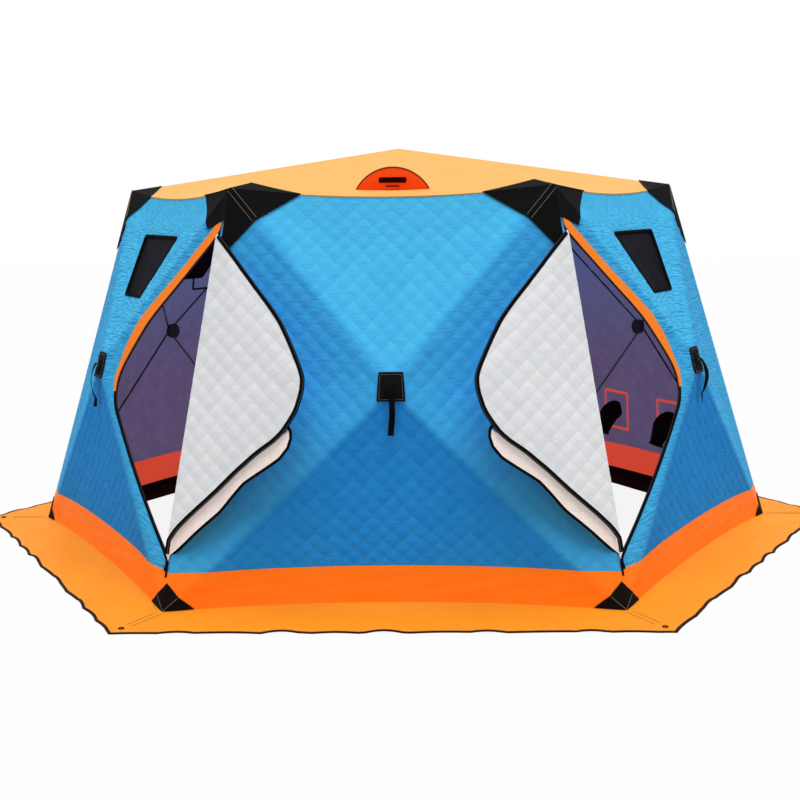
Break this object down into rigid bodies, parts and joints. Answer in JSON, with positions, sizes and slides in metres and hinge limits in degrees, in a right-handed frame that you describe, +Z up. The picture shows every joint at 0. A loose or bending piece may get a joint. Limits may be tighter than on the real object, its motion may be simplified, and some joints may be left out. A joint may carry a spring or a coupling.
{
  "type": "pop-up ice fishing shelter",
  "caption": "Six-sided quilted pop-up ice fishing hut with sprung pole frame, snow skirt, two zip doors, windows and a roof vent.",
  "frame": {"origin": "on the ground at the centre of the floor plan", "axes": "+Z up; the front wall faces -Y; +X to the right as seen from the front, along the longest width from corner to corner of the snow skirt"},
  "size_m": [4.846, 4.1968, 2.103],
  "materials": {
    "quilted_blue": "diamond-quilted nylon, pale blue lining",
    "band_orange": "coated woven nylon",
    "skirt_orange": "coated woven nylon",
    "roof_orange": "coated woven nylon",
    "hood_orange": "coated woven nylon",
    "black_patch": "heavy woven nylon",
    "black_webbing": "woven tape and webbing",
    "window_sheet": "dark clear sheet over mesh",
    "pole_glass_fibre": "black glass-fibre rod",
    "hub_plastic": "black moulded plastic"
  },
  "bodies": {
    "shelter": {"front_wall": "quilted_blue", "front_foot_band": "band_orange", "front_skirt": "skirt_orange", "front_roof_panel": "roof_orange", "left_front_wall": "quilted_blue", "left_front_foot_band": "band_orange", "left_front_skirt": "skirt_orange", "left_front_roof_panel": "roof_orange", "left_back_wall": "quilted_blue", "left_back_foot_band": "band_orange", "left_back_skirt": "skirt_orange", "left_back_roof_panel": "roof_orange", "back_wall": "quilted_blue", "back_foot_band": "band_orange", "back_skirt": "skirt_orange", "back_roof_panel": "roof_orange", "right_back_wall": "quilted_blue", "right_back_foot_band": "band_orange", "right_back_skirt": "skirt_orange", "right_back_roof_panel": "roof_orange", "right_front_wall": "quilted_blue", "right_front_foot_band": "band_orange", "right_front_skirt": "skirt_orange", "right_front_roof_panel": "roof_orange", "left_door_binding": "black_webbing", "left_rain_guard": "band_orange", "right_door_binding": "black_webbing", "right_rain_guard": "band_orange", "window_panes": "window_sheet", "top_corner_patches": "black_patch", "foot_corner_patches": "black_patch", "hub_patches": "black_patch", "pull_straps": "black_webbing", "wall_poles": "pole_glass_fibre", "wall_hubs": "hub_plastic", "roof_poles": "pole_glass_fibre", "roof_hub": "hub_plastic", "vent_hood": "hood_orange", "vent_patches": "black_patch", "vent_sleeves": "black_patch", "ground_flap": "black_patch"},
    "left_door": {"left_door_flap": "quilted_blue", "left_flap_binding": "black_webbing", "left_snow_guard": "band_orange"},
    "right_door": {"right_door_flap": "quilted_blue", "right_flap_binding": "black_webbing", "right_snow_guard": "band_orange"}
  },
  "joints": [
    {"name": "left_door_swing", "type": "hinge", "parent": "shelter", "child": "left_door", "pos_m": [-0.91812, -1.53585, 0.95677], "axis": [0.1458, 0.2526, 0.9565], "range_deg": [-190, 1]},
    {"name": "right_door_swing", "type": "hinge", "parent": "shelter", "child": "right_door", "pos_m": [0.91812, -1.53585, 0.95677], "axis": [-0.1458, 0.2526, 0.9565], "range_deg": [-1, 190]}
  ]
}
